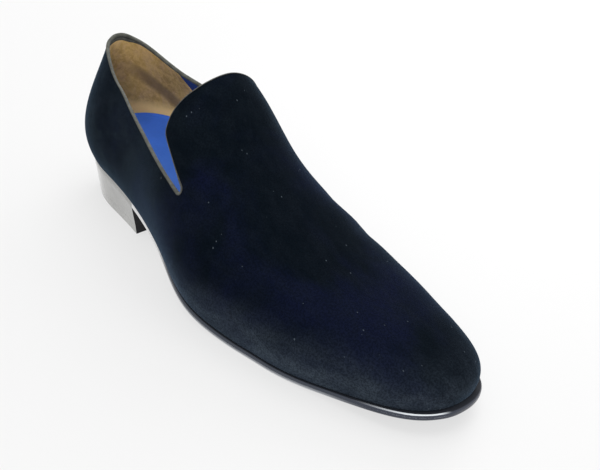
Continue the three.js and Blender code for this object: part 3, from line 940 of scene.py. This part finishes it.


# Tan suede: stains, reddish flushes, pale nap, one dark streak on a slant and a band of painted light at its
# foot
def suedeFinish():
    f = Finish("suede", Roughness=0.93, Sheen_Weight=0.15, Sheen_Roughness=0.5, Specular_IOR_Level=0.15,
               Sheen_Tint=heelLining["sheenTint"])
    x, _, z = f.parts()
    stain = f.noise(60, 4, 0.65, 0.8).between(0.4, 0.66)
    grain = f.noise(900, 3, 0.65)
    nap = f.noise(330, 4, 0.7, 0.5).between(0.38, 0.62)
    wander = (f.noise(30, 1) - 0.5) * 0.005
    slanted = (x * 0.8 + z + wander - heelLining["streakAlong"]) / heelLining["streakHalfWidth"]
    streak = (slanted * slanted).between(1.4, 0.0) * x.between(-0.036, -0.026) * x.between(0.004, -0.008)
    flush = f.noise(110, 4, 0.7, 0.6, f.stretched(1, 1, 0.6)).between(0.42, 0.62)
    colour = (stain * 0.6).colour(heelLining["tan"], heelLining["stain"])
    colour = (flush * 0.45).colour(colour, heelLining["flush"])
    colour = (nap * 0.45).colour(colour, heelLining["nap"])
    colour = (streak * heelLining["streakDepth"]).colour(colour, heelLining["streak"])
    # painted light: a bright band low on the suede, just above the sock's rim
    colour = (z.between(0.052, 0.044) * 0.9).colour(colour, heelLining["foot"])
    return f.set(Base_Color=colour, Normal=f.bump(grain, 0.0006, 0.7))


# Dark blue leather with a fine grain
def liningFinish():
    f = Finish("liningLeather", Specular_IOR_Level=0.25)
    grain = f.base.node("ShaderNodeTexVoronoi", {"feature": "DISTANCE_TO_EDGE"}, Vector=f.base, Scale=900.0)
    tone = f.noise(40, 3, 0.6).between(0.3, 0.7)
    colour = tone.colour(upper["liningDark"], upper["liningLight"])
    height = grain * 0.6 + f.noise(400, 3, 0.6) * 0.6
    rough = f.noise(120, 2) * 0.15 + 0.53
    return f.set(Base_Color=colour, Roughness=rough, Normal=f.bump(height, 0.0002, 0.35))


# Smooth dyed leather, deeper in tone towards the toe
def sockFinish():
    f = Finish("sockLeather", Specular_IOR_Level=0.25)
    forward = f.parts()[0].between(-0.04, 0.03)
    worn = f.noise(70, 3, 0.6).between(0.35, 0.75)
    grain = f.noise(700, 3, 0.6)
    colour = forward.colour(sock["back"], sock["front"])
    colour = (worn * 0.25).colour(colour, sock["worn"])
    return f.set(Base_Color=colour, Roughness=worn * 0.12 + 0.5, Normal=f.bump(grain, 0.0002, 0.3))


# Olive-grey tape, with painted shade in its groove and darker along both edges; across is the way over its
# outer face in millimetres
def tapeFinish():
    f = Finish("tape", Roughness=0.8, Sheen_Weight=0.1, Sheen_Roughness=0.4, Specular_IOR_Level=0.3)
    thread = f.noise(2200, 2, 0.6)
    tone = f.noise(300, 3, 0.6).between(0.25, 0.75)
    across = f.base.node("ShaderNodeAttribute", {"attribute_name": "across"}, output=2)
    # painted shade along the groove
    grooveShadeMask = across.between(3.05, 3.2) * across.between(3.6, 3.4)
    edges = 1 - across.between(0.0, 0.35) * across.between(4.1, 3.98)
    colour = tone.colour(tape["dark"], tape["light"])
    colour = (grooveShadeMask * 0.8).colour(colour, tape["grooveShade"])
    colour = (edges * 0.75).colour(colour, tape["edgeTone"])
    return f.set(Base_Color=colour, Normal=f.bump(thread, 0.0002, 0.5))


# Painted and polished edge of the heel, its grey a painted reflection; its front, which faces the toe, is
# left duller and darker with painted shade
def heelFinish(name, colour, roughness):
    f = Finish(name, Specular_IOR_Level=0.25, Coat_Roughness=0.1)
    wear = f.noise(90, 4, 0.6).between(0.35, 0.8)
    lines = f.noise(1.0, 3, 0.6, 0.0, f.stretched(1500, 1500, 40))
    front = f.facing()[0].between(0.6, 0.85)
    rough = wear * 0.12 + lines * 0.1 + front * 0.35 + roughness
    worn = (*(part * heel["wornShare"] for part in colour[:3]), 1)
    # painted shade on the front, painted reflection grey elsewhere
    tone = front.colour((wear * 0.7).colour(colour, worn), heel["breastShade"])
    bump = f.bump(lines, 0.00015, 0.35)
    return f.set(Base_Color=tone, Roughness=rough, Coat_Weight=1 - front, Normal=bump)


# Polished sole edge: its own tone in front of the heel, on the outsole partly a painted reflection; darker at
# the toe and lighter where it faces down, a painted reflection of the floor; pale at the waist and grey at
# the heel, both painted reflections; a matt ledge darkened with painted shade where it faces up; one painted
# highlight at the toe
def soleFinish(name, tone):
    f = Finish(name, Specular_IOR_Level=0.3, Coat_Roughness=0.12)
    x, y, _ = f.parts()
    rise = f.facing()[2]
    wear = f.noise(90, 4, 0.6).between(0.35, 0.8)
    upward = rise.between(0.75, 0.95)
    downward = rise.between(0.02, -0.25) * x.between(0.23, 0.19)
    atHeel = x.between(0.038, 0.036)
    waist = x.between(0.1, 0.07)
    slantedUp = rise.between(0.55, 0.75) * rise.between(0.99, 0.94)
    atToe = slantedUp * x.between(0.222, 0.25) * y.between(0.002, -0.005)
    colour = x.between(0.2, 0.235).colour(tone, sole["toeTone"])
    # painted reflection of the floor where the edge faces down
    colour = downward.colour(colour, sole["floorReflection"])
    # painted reflection at the waist
    colour = waist.colour(colour, sole["waistReflection"])
    # painted reflection grey at the heel
    colour = atHeel.colour(colour, heel["reflectionGrey"])
    # painted shade on the ledge that faces up under the velvet
    colour = upward.colour(colour, sole["ledgeShade"])
    colour = atToe.colour(colour, sole["toeLight"])
    polish = (1 - upward) * (atHeel * 0.5 + 0.5)
    return f.set(Base_Color=colour, Roughness=wear * 0.1 + upward * 0.5 + 0.25, Coat_Weight=polish)


dress(velvetPiece, velvetFinish())
dress(suedePiece, suedeFinish())
dress(liningPiece, liningFinish())
dress(sockPiece, sockFinish())
dress(tapePiece, tapeFinish())
dress(midsolePiece, soleFinish("midsoleEdge", sole["midsoleTone"]))
dress(outsolePiece, soleFinish("soleEdge", sole["outsoleToneAndReflection"]))
dress(heelPiece, heelFinish("heelEdge", heel["reflectionGrey"], 0.1))
dress(liftPiece, heelFinish("topLift", heel["liftReflectionGrey"], 0.18))

print("stage: floor, lights, camera")

stage = {
    "floorHalf": 3.0,
    "floorColour": (0.16, 0.16, 0.16, 1),
    "floorGlow": 0.64,
    "viewTransform": "Standard",
    "world": 1.0,
    "lights": [
        {"name": "topSoft", "at": (0.05, 0.25, 1.6), "to": (0.1, 0, 0), "size": 1.6, "power": 14},
        {"name": "backSoft", "at": (-0.6, 1.3, 0.9), "to": (0.1, 0, 0.05), "size": 1.2, "power": 10},
        {"name": "frontFill", "at": (0.9, -0.9, 0.8), "to": (0.1, 0, 0.05), "size": 0.5, "power": 6},
    ],
}


def makeStage():
    h = stage["floorHalf"]
    mesh = bpy.data.meshes.new("floor")
    mesh.from_pydata([(-h, -h, 0), (h, -h, 0), (h, h, 0), (-h, h, 0)], [], [(0, 1, 2, 3)])
    floor = bpy.data.objects.new("floor", mesh)
    bpy.context.scene.collection.objects.link(floor)
    f = Finish("paleFloor", Roughness=0.6, Specular_IOR_Level=0.3, Base_Color=stage["floorColour"],
               Emission_Color=(1, 1, 1, 1), Emission_Strength=stage["floorGlow"])
    dress(floor, f.material)
    world = bpy.data.worlds.new("studio")
    world.use_nodes = True
    background = world.node_tree.nodes["Background"]
    background.inputs["Color"].default_value = (1, 1, 1, 1)
    background.inputs["Strength"].default_value = stage["world"]
    bpy.context.scene.world = world
    bpy.context.scene.view_settings.view_transform = stage["viewTransform"]
    for lamp in stage["lights"]:
        data = bpy.data.lights.new(lamp["name"], "AREA")
        data.energy = lamp["power"]
        data.shape = "DISK"
        data.size = lamp["size"]
        light = bpy.data.objects.new(lamp["name"], data)
        light.location = lamp["at"]
        light.rotation_euler = (Vector(lamp["at"]) - Vector(lamp["to"])).to_track_quat("Z", "Y").to_euler()
        bpy.context.scene.collection.objects.link(light)


view = {
    "target": (0.12005, 0.026, 0.0251),
    "azimuth": 46.6,
    "elevation": 30.0,
    "distance": 0.4862,
    "focalPixels": 885.2,
    "roll": 6.8,
    "framePixels": 600,
    "sensor": 36,
}


def makeCamera():
    a, e, r = (math.radians(view[k]) for k in ("azimuth", "elevation", "roll"))
    back = Vector((math.sin(a) * math.cos(e), -math.cos(a) * math.cos(e), math.sin(e)))
    right = (-back).cross(Vector((0, 0, 1))).normalized()
    up = right.cross(-back)
    rightTurned = right * math.cos(r) + up * math.sin(r)
    upTurned = up * math.cos(r) - right * math.sin(r)
    data = bpy.data.cameras.new("photoView")
    data.sensor_width = view["sensor"]
    data.lens = view["sensor"] * view["focalPixels"] / view["framePixels"]
    data.clip_start = 0.01
    camera = bpy.data.objects.new("photoView", data)
    turned = Matrix((rightTurned, upTurned, back)).transposed().to_4x4()
    camera.matrix_world = Matrix.Translation(Vector(view["target"]) + back * view["distance"]) @ turned
    bpy.context.scene.collection.objects.link(camera)
    bpy.context.scene.camera = camera


makeStage()
makeCamera()
